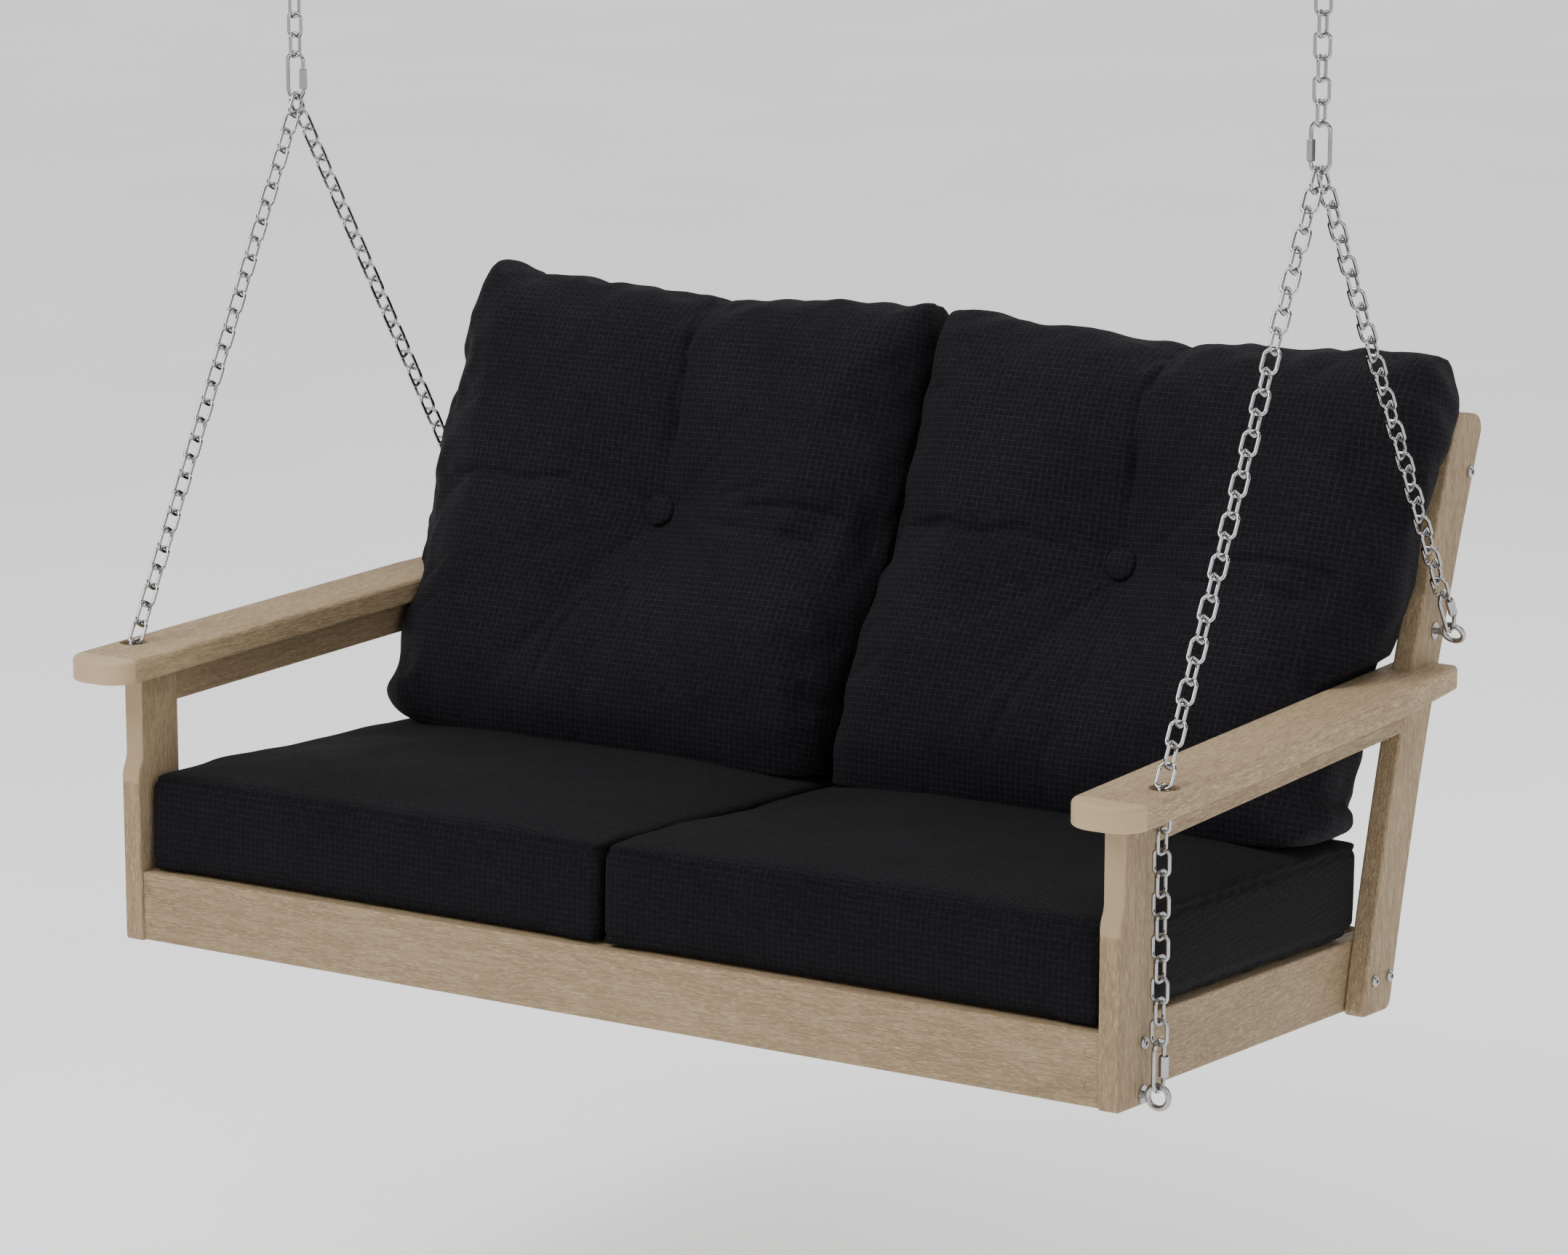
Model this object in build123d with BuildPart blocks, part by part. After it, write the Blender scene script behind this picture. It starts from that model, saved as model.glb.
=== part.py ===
from build123d import *
from math import atan2, cos, degrees, radians, sin, sqrt, tan
import os

os.makedirs("parts", exist_ok=True)

# Two-seat porch swing seat: a frame of moulded lumber boards with two seat cushions and two back
# cushions, hung by chains from two beam hangers.
# +X is the right-hand side seen from in front, +Y is the rear, +Z is up. The origin is on the
# underside of the beam, half-way between the hangers, in the plane that all the chains hang in.
# Distances along and up the seat are measured from the front bottom corner of the front posts.

# ---- driving dimensions, millimetres ----
half_width = 670.0         # centre line to the outer faces of the posts and uprights
board = 25.4               # thickness of the frame boards
fit_gap = 0.3              # air between neighbouring boards
deck_tilt = 4.0            # the seat falls towards the rear, degrees

post_depth = 76.0
post_step = 8.5            # how far the lower part of a post stands in front of the upper part
step_low = 198.0
step_high = 229.0

arm_bottom = 320.0
arm_thickness = 28.6
arm_inner = 624.5
arm_outer = 713.4
arm_front = -54.0
arm_rear = 771.0
arm_taper_start = 614.0    # behind here the outer edge turns inwards
arm_rear_outer = 700.5
arm_hole_radius = 16.5
arm_hole_x = 691.0
arm_rail_bottom = 280.0

rail_bottom = 3.5          # seat rails, above the line of the post feet
deck_height = 86.5         # top of the seat deck, at the front face of the posts
apron_setback = 4.0
apron_bottom = 1.0
apron_top = 84.5

upright_width = 73.4       # an upright is a board bent to a large circle
bend_radius = 3522.5       # radius of an upright's rear edge
bend_centre_y = 4106.9
bend_centre_z = -818.2
upright_top_front = 637.0
upright_top_rear = 624.0

back_lean = 18.4           # the plane of the back, degrees from the vertical
back_foot = 678.9          # where that plane crosses the height of the post feet
crest_low = 547.2          # crest rail, measured up the back
crest_high = 636.2
rear_rail_low = -44.0
rear_rail_high = 40.0
back_slat_count = 8
back_slat_width = 89.0
back_slat_thickness = 16.0
back_slat_low = -40.0
back_slat_high = 632.0

seat_slat_count = 4
seat_slat_width = 140.0
seat_slat_gap = 10.0
seat_slat_thickness = 19.0
seat_slat_start = 33.0
cleat_width = 24.8
cleat_height = 30.0

cushion_height = 118.0
cushion_front = 9.0
cushion_rear = 617.0

chain_wire = 4.2
link_width = 22.5          # over both wires
link_corner = 6.5
main_step = 24.0           # link to link in the main chains
chain_air = 0.2
apex_air = 0.6             # the bow of the upper quick link rises towards its sides
bend_air = 0.2
main_links = 7
front_links_above = 30     # from the upper quick link down to the armrest
front_links_below = 12     # from the armrest down to the front eye bolt
rear_links = 26
chain_x = 691.5
branch_offset = 2.3        # the two branches hang side by side on one quick link

quick_wire = 5.0
quick_length = 61.0
quick_width = 28.0
sleeve_length = 24.0
sleeve_flats = 9.5
sleeve_bore = 2.6
gate_gap = 7.0

ring_radius = 12.6         # centre line of an eye bolt's ring
ring_wire = 6.6
eye_shank = 4.0
front_eye = (55.0, 8.4)    # to the rear and up
rear_eye = (766.5, 386.5)
washer_thickness = 1.6
washer_radius = 10.0
nut_flats = 13.0
nut_height = 6.5

hanger_bar = 10.0
hanger_drop = 35.0         # underside of the plate to the middle of the bar
hanger_plate = 6.0
hanger_leg = 17.0

apex_forward = 394.5       # the branches meet this far behind the front of the posts
apex_height = 963.2        # and this far above their feet

bolt_radius = 4.0
bolt_length = 48.0
bolt_head_radius = 7.0
bolt_head_height = 4.4
hole_radius = 4.2
post_bolt = (55.5, 65.7)
upright_bolts = ((625.0, -3.2), (664.6, -6.1), (852.4, 561.5))

screw_radius = 2.4
screw_length = 38.0
screw_head_radius = 4.5
screw_hole = 2.6
screw_sink = 4.7
arm_screw_length = 48.0
arm_screw_sunk = 12.0      # depth of the pockets that hide the armrest screws
arm_screw_places = (160.0, 380.0, 600.0)

# ---- places worked out from them ----
slope = tan(radians(deck_tilt))
lean = tan(radians(back_lean))
quick_reach = quick_length - quick_wire
bar_height = -hanger_plate - hanger_drop
main_inside = main_step + chain_air
first_main = bar_height + hanger_bar / 2 + chain_air - main_inside / 2
last_main = first_main - (main_links - 1) * main_step
quick_top = last_main - main_inside / 2 + quick_wire / 2 + chain_air
apex = Vector(0, 0, quick_top - quick_reach)
seat_front = -apex_forward
seat_base = apex.Z - apex_height
sides = (("left", -1), ("right", 1))


def place(x, y, z):
    """A point given from the front bottom corner of the posts, in the part's frame."""
    return Vector(x, seat_front + y, seat_base + z)


def side_plane(x):
    """Upright plane along the seat: local x runs to the rear and local y up."""
    return Plane(origin=place(x, 0, 0), x_dir=(0, 1, 0), z_dir=(1, 0, 0))


def level_plane(z):
    """Level plane: local x runs to the right and local y to the rear."""
    return Plane(origin=place(0, 0, z), x_dir=(1, 0, 0), z_dir=(0, 0, 1))


def front_plane(y):
    """Upright plane across the seat that faces forward."""
    return Plane(origin=place(0, y, 0), x_dir=(1, 0, 0), z_dir=(0, -1, 0))


def facing(origin, along, normal):
    return Plane(origin=origin, x_dir=along, z_dir=normal)


tilt = radians(deck_tilt)
deck_plane = facing(place(0, 0, deck_height), (1, 0, 0), (0, sin(tilt), cos(tilt)))
back_angle = radians(back_lean)
back_plane = facing(place(0, back_foot, 0), (1, 0, 0), (0, -cos(back_angle), sin(back_angle)))
deck_axis = Axis((0, 0, 0), deck_plane.y_dir)
back_axis = Axis((0, 0, 0), back_plane.y_dir)


def bend_y(radius, z):
    """Distance to the rear of an upright's edge of the given radius, at height z."""
    return bend_centre_y - sqrt(radius ** 2 - (z - bend_centre_z) ** 2)


def foot_z(radius):
    """Height at which that edge meets the sloping line of the post feet."""
    z = 0.0
    for _ in range(6):
        z = -slope * bend_y(radius, z)
    return z


def bend_arc(radius, z_start, z_end):
    z_middle = (z_start + z_end) / 2
    points = [(bend_y(radius, z), z) for z in (z_start, z_middle, z_end)]
    return ThreePointArc(*points)


front_bend = bend_radius + upright_width


def save(builder, name):
    builder.part.label = name
    export_step(builder.part, f"parts/{name}.step")


def long_edges(builder, axis, length):
    """The edges along an axis that are at least that long."""
    return [edge for edge in builder.edges().filter_by(axis) if edge.length > length]


# ---- fasteners, each made once and then set in place ----
def button_bolt():
    """Button-head bolt with a hexagon socket. The head seats at the origin and faces +X."""
    with BuildPart() as bolt:
        with BuildSketch(Plane.YZ):
            Circle(bolt_head_radius)
        extrude(amount=bolt_head_height)
        fillet(bolt.faces().sort_by(Axis.X)[-1].edges(), 3.0)
        with BuildSketch(Plane.YZ.offset(bolt_head_height)):
            RegularPolygon(radius=2.9, side_count=6)
        extrude(amount=-2.6, mode=Mode.SUBTRACT)
        with BuildSketch(Plane.YZ):
            Circle(bolt_radius)
        extrude(amount=-bolt_length)
    return bolt.part


def wood_screw(length):
    """Countersunk screw. The head is flush with the XY plane and the point is below it."""
    head_depth = screw_head_radius - screw_radius
    with BuildPart() as screw:
        with BuildSketch(Plane.XZ):
            with BuildLine():
                Polyline((0, 0), (screw_head_radius, 0), (screw_radius, -head_depth),
                         (screw_radius, 4 - length), (0, -length), close=True)
            make_face()
        revolve(axis=Axis.Z)
        with BuildSketch(Plane.XY):
            Rectangle(4.2, 1.1)
            Rectangle(1.1, 4.2)
        extrude(amount=-1.4, mode=Mode.SUBTRACT)
    return screw.part


def hex_nut():
    """Nut on the shank of an eye bolt. It sits on the YZ plane and extends along +X."""
    with BuildPart() as nut:
        with BuildSketch(Plane.YZ):
            RegularPolygon(radius=nut_flats / sqrt(3), side_count=6)
            Circle(eye_shank + 0.1, mode=Mode.SUBTRACT)
        extrude(amount=nut_height)
    return nut.part


def flat_washer():
    with BuildPart() as washer:
        with BuildSketch(Plane.YZ):
            Circle(washer_radius)
            Circle(eye_shank + 0.25, mode=Mode.SUBTRACT)
        extrude(amount=washer_thickness)
    return washer.part


def eye_bolt(shank_end):
    """Ring centred on the origin in the XZ plane, with its shank running along -X."""
    with BuildPart() as bolt:
        Torus(ring_radius, ring_wire / 2, rotation=(90, 0, 0))
        with BuildSketch(Plane.YZ.offset(-ring_radius - 1.5)):
            Circle(eye_shank)
        extrude(amount=-(shank_end - ring_radius - 1.5))
    return bolt.part


def outward(sign, x, y, z):
    """Location on a side of the frame whose local +X points away from the centre line."""
    turn = 0 if sign > 0 else 180
    return Location(place(sign * x, y, z), (0, 0, turn))


# ---- chain links and quick links ----
def chain_link(inside):
    """Link standing along Z, with its two wires side by side along X."""
    with BuildPart() as link:
        with BuildLine(Plane.XZ) as path:
            x = (link_width - chain_wire) / 2
            z = (inside + chain_wire) / 2
            corners = [(x, z), (-x, z), (-x, -z), (x, -z)]
            FilletPolyline(*corners, radius=link_corner, close=True)
        with BuildSketch(Plane(path.wires()[0] ^ 0)):
            Circle(chain_wire / 2)
        sweep(path=path.wires()[0])
    return link.part


def quick_link():
    """Open loop standing along Z. The gate is in the wire on its +X side."""
    x = (quick_width - quick_wire) / 2
    z = quick_reach / 2 - x
    gate_low = -z + 2.0
    with BuildPart() as link:
        with BuildLine(Plane.XZ) as path:
            Line((x, gate_low + gate_gap), (x, z))
            ThreePointArc((x, z), (0, z + x), (-x, z))
            Line((-x, z), (-x, -z))
            ThreePointArc((-x, -z), (0, -z - x), (x, -z))
            Line((x, -z), (x, gate_low))
        with BuildSketch(Plane(path.wires()[0] ^ 0)):
            Circle(quick_wire / 2)
        sweep(path=path.wires()[0])
    return link.part


def gate_sleeve():
    """Hexagonal sleeve, closed over the gate of a quick link."""
    x = (quick_width - quick_wire) / 2
    z = quick_reach / 2 - x
    with BuildPart() as sleeve:
        with BuildSketch(Plane.XY.offset(-z + 0.8)):
            with Locations((x, 0)):
                RegularPolygon(radius=sleeve_flats / sqrt(3), side_count=6)
        extrude(amount=sleeve_length)
        chamfer(sleeve.faces().filter_by(Axis.Z).edges(), 0.6)
        with BuildSketch(Plane.XY.offset(-z + 0.8)):
            with Locations((x, 0)):
                Circle(sleeve_bore)
        extrude(amount=sleeve_length, mode=Mode.SUBTRACT)
    return sleeve.part


def stand(centre, wide, up):
    """Location of a link with its middle, the way its wires lie apart and its long direction."""
    return Plane(origin=centre, x_dir=wide, z_dir=up).location


def chain_run(first, step, count):
    """Locations of links spaced by a vector. Each link is a quarter turn from the one before."""
    along = step.normalized()
    crosswise = Vector(0, along.Z, -along.Y)
    spots = []
    for number in range(count):
        wide = crosswise if number % 2 == 0 else Vector(1, 0, 0)
        spots.append(stand(first + step * number, wide, along))
    return spots


quick_part = quick_link()
sleeve_part = gate_sleeve()
down = Vector(0, 0, -1)
hook_depth = ring_radius - ring_wire / 2 - quick_wire / 2 - chain_air

# The front branch is straight to the armrest's hole and straight again down to the eye bolt.
bend_point = place(0, front_eye[0], arm_bottom + arm_thickness + 0.4)
front_quick_top = place(0, front_eye[0], front_eye[1] + hook_depth + quick_reach)
drop = bend_point.Z - bend_air - front_quick_top.Z
drop_step = (drop + quick_wire / 2 + chain_air / 2) / front_links_below
front_inside_length = drop_step + chain_air
front_line = bend_point - apex
front_aim = front_line.normalized()
front_start = front_inside_length / 2 - quick_wire / 2 - apex_air
front_step = (front_line.length - front_start) / (front_links_above - 0.5)

# The rear branch is one straight line to the eye bolt on the upright.
rear_line = place(0, *rear_eye) - apex
rear_aim = rear_line.normalized()
rear_reach = rear_line.length - hook_depth - quick_reach
rear_step = (rear_reach + quick_wire + apex_air) / rear_links
rear_start = (rear_step + chain_air) / 2 - quick_wire / 2 - apex_air
rear_quick_top = apex + rear_aim * rear_reach
ring_turn = degrees(atan2(rear_aim.Y, -rear_aim.Z))

main_link = chain_link(main_inside)
front_link = chain_link(front_inside_length)
rear_link = chain_link(rear_step + chain_air)

for name, sign in sides:
    middle = Vector(sign * chain_x, 0, 0)
    inboard = Vector(-sign, 0, 0)
    front_x = Vector(sign * (chain_x - branch_offset), 0, 0)
    rear_x = Vector(sign * (chain_x + branch_offset), 0, 0)

    first = middle + Vector(0, 0, first_main)
    with BuildPart() as main_chain:
        with Locations(*chain_run(first, down * main_step, main_links)):
            add(main_link)
    save(main_chain, f"main_chain_{name}")

    upper = stand(middle + apex + Vector(0, 0, quick_reach / 2), inboard, Vector(0, 0, 1))
    with BuildPart() as upper_quick_link:
        with Locations(upper):
            add(quick_part)
    save(upper_quick_link, f"upper_quick_link_{name}")
    with BuildPart() as upper_sleeve:
        with Locations(upper):
            add(sleeve_part)
    save(upper_sleeve, f"upper_sleeve_{name}")

    first = front_x + apex + front_aim * front_start
    turned = front_x + bend_point + down * (bend_air + drop_step / 2)
    with BuildPart() as front_chain:
        with Locations(*chain_run(first, front_aim * front_step, front_links_above)):
            add(front_link)
        with Locations(*chain_run(turned, down * drop_step, front_links_below)):
            add(front_link)
    save(front_chain, f"front_chain_{name}")

    front = stand(front_x + front_quick_top + down * (quick_reach / 2), Vector(0, 1, 0),
                  Vector(0, 0, 1))
    with BuildPart() as front_quick_link:
        with Locations(front):
            add(quick_part)
    save(front_quick_link, f"front_quick_link_{name}")
    with BuildPart() as front_sleeve:
        with Locations(front):
            add(sleeve_part)
    save(front_sleeve, f"front_sleeve_{name}")

    first = rear_x + apex + rear_aim * rear_start
    with BuildPart() as rear_chain:
        with Locations(*chain_run(first, rear_aim * rear_step, rear_links)):
            add(rear_link)
    save(rear_chain, f"rear_chain_{name}")

    across = Vector(0, -rear_aim.Z, rear_aim.Y)
    rear = stand(rear_x + rear_quick_top + rear_aim * (quick_reach / 2), across, rear_aim * -1)
    with BuildPart() as rear_quick_link:
        with Locations(rear):
            add(quick_part)
    save(rear_quick_link, f"rear_quick_link_{name}")
    with BuildPart() as rear_sleeve:
        with Locations(rear):
            add(sleeve_part)
    save(rear_sleeve, f"rear_sleeve_{name}")

    # Hanger: a plate for four lag screws with a welded U bar under it.
    with BuildPart() as hanger:
        with BuildSketch(Plane.XY.offset(-hanger_plate)):
            with Locations((sign * chain_x, 0)):
                RectangleRounded(100, 56, 8)
                with GridLocations(72, 30, 2, 2):
                    Circle(4.5, mode=Mode.SUBTRACT)
        extrude(amount=hanger_plate)
        with BuildLine(Plane.XZ) as bar_path:
            left_leg = sign * chain_x - hanger_leg
            right_leg = sign * chain_x + hanger_leg
            FilletPolyline((left_leg, -hanger_plate / 2), (left_leg, bar_height),
                           (right_leg, bar_height), (right_leg, -hanger_plate / 2), radius=11)
        with BuildSketch(Plane(bar_path.wires()[0] ^ 0)):
            Circle(hanger_bar / 2)
        sweep(path=bar_path.wires()[0])
    save(hanger, f"hanger_{name}")

# ---- side frames ----
for name, sign in sides:
    inward = -sign * board
    outer_face = side_plane(sign * half_width)

    # Front post: the S-shaped step is in its front edge.
    with BuildPart() as front_post:
        with BuildSketch(outer_face) as post_outline:
            with BuildLine():
                middle_step = (step_low + step_high) / 2
                Line((0, 0), (0, step_low))
                Bezier((0, step_low), (0, middle_step), (post_step, middle_step),
                       (post_step, step_high))
                Polyline((post_step, step_high), (post_step, arm_bottom),
                         (post_depth, arm_bottom), (post_depth, -slope * post_depth), (0, 0))
            make_face()
            fillet(post_outline.vertices().sort_by(Axis.Y)[1], 5.0)
        extrude(amount=inward)
        rim = front_post.faces().filter_by(Axis.X).edges()
        fillet([edge for edge in rim if edge.center().Y < place(0, post_depth - 1, 0).Y
                and edge.center().Z < place(0, 0, arm_bottom - 1).Z], 3.0)
        with BuildSketch(outer_face):
            with Locations(post_bolt, front_eye):
                Circle(hole_radius)
        extrude(amount=inward, mode=Mode.SUBTRACT)
    save(front_post, f"front_post_{name}")

    # Upright: both long edges are arcs about one centre.
    with BuildPart() as back_upright:
        with BuildSketch(outer_face):
            front_foot = foot_z(front_bend)
            rear_foot = foot_z(bend_radius)
            with BuildLine():
                bend_arc(front_bend, front_foot, upright_top_front)
                Line((bend_y(front_bend, upright_top_front), upright_top_front),
                     (bend_y(bend_radius, upright_top_rear), upright_top_rear))
                bend_arc(bend_radius, upright_top_rear, rear_foot)
                Line((bend_y(bend_radius, rear_foot), rear_foot),
                     (bend_y(front_bend, front_foot), front_foot))
            make_face()
        extrude(amount=inward)
        for radius, edge_radius, z in ((14.0, bend_radius, rear_foot), (8.0, front_bend, front_foot),
                                       (20.0, bend_radius, upright_top_rear),
                                       (9.0, front_bend, upright_top_front)):
            corner = place(sign * half_width, bend_y(edge_radius, z), z)
            fillet(back_upright.edges().filter_by(Axis.X).sort_by_distance(corner)[0], radius)
        fillet(back_upright.faces().filter_by(Axis.X).edges(), 3.5)
        with BuildSketch(outer_face):
            with Locations(*upright_bolts, rear_eye):
                Circle(hole_radius)
        extrude(amount=inward, mode=Mode.SUBTRACT)
    save(back_upright, f"back_upright_{name}")

    # Armrest: a flat board with a round nose, cut away around the upright.
    with BuildPart() as armrest:
        with BuildSketch(level_plane(arm_bottom)) as arm_outline:
            with BuildLine():
                Polyline((sign * arm_inner, arm_front), (sign * arm_outer, arm_front),
                         (sign * arm_outer, arm_taper_start), (sign * arm_rear_outer, arm_rear),
                         (sign * arm_inner, arm_rear), close=True)
            make_face()
            fillet(arm_outline.vertices().sort_by(Axis.Y)[:2], 35.0)
            fillet(arm_outline.vertices().sort_by(Axis.Y)[-2:], 7.0)
        extrude(amount=arm_thickness)
        fillet(armrest.faces().sort_by(Axis.Z)[-1].edges(), 6.0)
        fillet(armrest.faces().sort_by(Axis.Z)[0].edges(), 3.5)
        with BuildSketch(side_plane(sign * (half_width + fit_gap))):
            low, high = arm_bottom - 20, arm_bottom + arm_thickness + 20
            with BuildLine():
                Polyline((bend_y(front_bend, low) - fit_gap, low),
                         (bend_y(front_bend, high) - fit_gap, high),
                         (arm_rear + 40, high), (arm_rear + 40, low), close=True)
            make_face()
        extrude(amount=-sign * (board + 2 * fit_gap), mode=Mode.SUBTRACT)
        with BuildSketch(level_plane(arm_bottom)):
            with Locations((sign * arm_hole_x, front_eye[0])):
                Circle(arm_hole_radius)
        extrude(amount=arm_thickness, mode=Mode.SUBTRACT)
        rims = armrest.edges().filter_by(GeomType.CIRCLE)
        fillet([edge for edge in rims if abs(edge.radius - arm_hole_radius) < 0.01], 1.5)
        screw_line = sign * (half_width - board / 2)
        with BuildSketch(level_plane(arm_bottom)):
            with Locations(*[(screw_line, y) for y in arm_screw_places]):
                Circle(screw_hole)
        extrude(amount=20.5, mode=Mode.SUBTRACT)
    save(armrest, f"armrest_{name}")

    # Rail under the armrest, between the post and the upright.
    with BuildPart() as arm_rail:
        with BuildSketch(outer_face):
            top = arm_bottom - fit_gap
            with BuildLine():
                Polyline((post_depth + fit_gap, arm_rail_bottom), (post_depth + fit_gap, top),
                         (bend_y(front_bend, top) - fit_gap, top),
                         (bend_y(front_bend, arm_rail_bottom) - fit_gap, arm_rail_bottom),
                         close=True)
            make_face()
        extrude(amount=inward)
        fillet(long_edges(arm_rail.faces().sort_by(Axis.Z)[0], Axis.Y, 100), 2.5)
        with BuildSketch(level_plane(arm_rail_bottom)):
            with Locations(*[(screw_line, y) for y in arm_screw_places]):
                Circle(screw_hole)
        extrude(amount=arm_bottom - arm_rail_bottom, mode=Mode.SUBTRACT)
        with BuildSketch(level_plane(arm_rail_bottom)):
            with Locations(*[(screw_line, y) for y in arm_screw_places]):
                Circle(screw_sink + 0.5)
        extrude(amount=arm_screw_sunk, mode=Mode.SUBTRACT)
        with Locations(*[Location(place(screw_line, y, arm_rail_bottom + arm_screw_sunk), (180, 0, 0))
                         for y in arm_screw_places]):
            CounterSinkHole(screw_hole, screw_sink, depth=10, counter_sink_angle=90)
    save(arm_rail, f"arm_rail_{name}")

    # Side rail: it follows the deck's slope, inside the post and the upright.
    def rear_end(z):
        return back_foot + z * lean - 3.0

    with BuildPart() as side_rail:
        rail_plane = side_plane(sign * (half_width - board - fit_gap))
        start = apron_setback + board + fit_gap
        with BuildSketch(rail_plane):
            low = rail_bottom - slope * back_foot
            high = deck_height - slope * back_foot
            with BuildLine():
                Polyline((start, rail_bottom - slope * start), (start, deck_height - slope * start),
                         (rear_end(high), high - slope * (rear_end(high) - back_foot)),
                         (rear_end(low), low - slope * (rear_end(low) - back_foot)), close=True)
            make_face()
        extrude(amount=inward)
        fillet(long_edges(side_rail, deck_axis, 100), 2.5)
        with BuildSketch(rail_plane):
            with Locations(post_bolt, front_eye, *upright_bolts[:2]):
                Circle(hole_radius)
        extrude(amount=inward, mode=Mode.SUBTRACT)
        with BuildSketch(front_plane(start)):
            with Locations(*[(sign * (half_width - 1.5 * board - fit_gap), z) for z in (24, 61)]):
                Circle(screw_hole)
        extrude(amount=-20, mode=Mode.SUBTRACT)
    save(side_rail, f"side_rail_{name}")

# ---- boards across the seat ----
rail_inner = half_width - 2 * board - 2 * fit_gap
between_posts = half_width - board - fit_gap
apron_screws = [(sign * (half_width - 1.5 * board - fit_gap), z)
                for sign in (-1, 1) for z in (24, 61)]
plug_depth = 5.0

with BuildPart() as front_apron:
    with BuildSketch(front_plane(apron_setback)):
        with Locations((0, (apron_bottom + apron_top) / 2)):
            Rectangle(2 * between_posts, apron_top - apron_bottom)
    extrude(amount=-board)
    fillet(long_edges(front_apron, Axis.X, 100), 2.5)
    with BuildSketch(front_plane(apron_setback)):
        with Locations(*apron_screws):
            Circle(screw_hole)
    extrude(amount=-board, mode=Mode.SUBTRACT)
    with BuildSketch(front_plane(apron_setback)):
        with Locations(*apron_screws):
            Circle(5.2)
    extrude(amount=-plug_depth, mode=Mode.SUBTRACT)
    with Locations(*[front_plane(apron_setback + plug_depth).location * Location((x, z, 0))
                     for x, z in apron_screws]):
        CounterSinkHole(screw_hole, screw_sink, depth=6, counter_sink_angle=90)
save(front_apron, "front_apron")

with BuildPart() as apron_plugs:
    with BuildSketch(front_plane(apron_setback + 0.5)):
        with Locations(*apron_screws):
            Circle(5.0)
    extrude(amount=0.7 - plug_depth)
save(apron_plugs, "apron_plugs")

# Screws along the deck: two through each seat slat into each cleat and into the bearer.
cleat_middle = rail_inner - cleat_width / 2
slat_starts = [seat_slat_start + number * (seat_slat_width + seat_slat_gap)
               for number in range(seat_slat_count)]
seat_screws = [(x, start + side) for start in slat_starts
               for side in (35, seat_slat_width - 35) for x in (-cleat_middle, 0, cleat_middle)]

# Screws through the back slats, into the rear rail and the crest rail.
slat_space = (2 * (half_width - board) - back_slat_count * back_slat_width) / (back_slat_count + 1)
slat_pitch = slat_space + back_slat_width
slat_centres = [(number - (back_slat_count - 1) / 2) * slat_pitch
                for number in range(back_slat_count)]
slat_back = board + fit_gap
slat_front = slat_back + back_slat_thickness
back_heights = (-15.0, crest_low + 44.5)


def back_screws(centre):
    return [(centre + side, height) for height in back_heights for side in (-24, 24)]


all_back_screws = [spot for centre in slat_centres for spot in back_screws(centre)]

with BuildPart() as rear_rail:
    with BuildSketch(back_plane):
        with Locations((0, (rear_rail_low + rear_rail_high) / 2)):
            Rectangle(2 * rail_inner, rear_rail_high - rear_rail_low)
    extrude(amount=board)
    fillet(long_edges(rear_rail, Axis.X, 100), 2.5)
    with BuildSketch(back_plane.offset(board)):
        with Locations(*[spot for spot in all_back_screws if spot[1] == back_heights[0]]):
            Circle(screw_hole)
    extrude(amount=-23, mode=Mode.SUBTRACT)
save(rear_rail, "rear_rail")

with BuildPart() as crest_rail:
    with BuildSketch(back_plane):
        with Locations((0, (crest_low + crest_high) / 2)):
            Rectangle(2 * between_posts, crest_high - crest_low)
    extrude(amount=board)
    fillet(long_edges(crest_rail, Axis.X, 100), 3.0)
    for sign in (-1, 1):
        with BuildSketch(side_plane(sign * between_posts)):
            with Locations(upright_bolts[2]):
                Circle(hole_radius)
        extrude(amount=-sign * 30, mode=Mode.SUBTRACT)
    with BuildSketch(back_plane.offset(board)):
        with Locations(*[spot for spot in all_back_screws if spot[1] == back_heights[1]]):
            Circle(screw_hole)
    extrude(amount=-23, mode=Mode.SUBTRACT)
save(crest_rail, "crest_rail")

start = apron_setback + board + fit_gap
top = deck_height - seat_slat_thickness - fit_gap
reach = board / cos(back_angle) + fit_gap


def bearer_end(height):
    end = (back_foot - reach + height * lean) / (1 + slope * lean)
    return (end, height - slope * end)


with BuildPart() as centre_bearer:
    with BuildSketch(side_plane(-board / 2)):
        with BuildLine():
            Polyline((start, rail_bottom - slope * start), (start, top - slope * start),
                     bearer_end(top), bearer_end(rail_bottom), close=True)
        make_face()
    extrude(amount=board)
    with BuildSketch(deck_plane.offset(-seat_slat_thickness)):
        with Locations(*[spot for spot in seat_screws if spot[0] == 0]):
            Circle(screw_hole)
    extrude(amount=-20, mode=Mode.SUBTRACT)
save(centre_bearer, "centre_bearer")

with BuildPart() as seat_cleats:
    with BuildSketch(deck_plane.offset(-seat_slat_thickness - fit_gap)):
        for sign in (-1, 1):
            with Locations((sign * cleat_middle, 326)):
                Rectangle(cleat_width, 580)
    extrude(amount=-cleat_height)
    with BuildSketch(deck_plane.offset(-seat_slat_thickness - fit_gap)):
        with Locations(*[spot for spot in seat_screws if spot[0] != 0]):
            Circle(screw_hole)
    extrude(amount=-20, mode=Mode.SUBTRACT)
save(seat_cleats, "seat_cleats")

for number, start in enumerate(slat_starts, 1):
    with BuildPart() as seat_slat:
        with BuildSketch(deck_plane):
            with Locations((0, start + seat_slat_width / 2)):
                Rectangle(2 * rail_inner - 2 * fit_gap, seat_slat_width)
        extrude(amount=-seat_slat_thickness)
        fillet(long_edges(seat_slat, Axis.X, 100), 3.0)
        own = [spot for spot in seat_screws if start < spot[1] < start + seat_slat_width]
        with Locations(*[deck_plane.location * Location((x, y, 0)) for x, y in own]):
            CounterSinkHole(screw_hole, screw_sink, counter_sink_angle=90)
    save(seat_slat, f"seat_slat_{number}")

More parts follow.
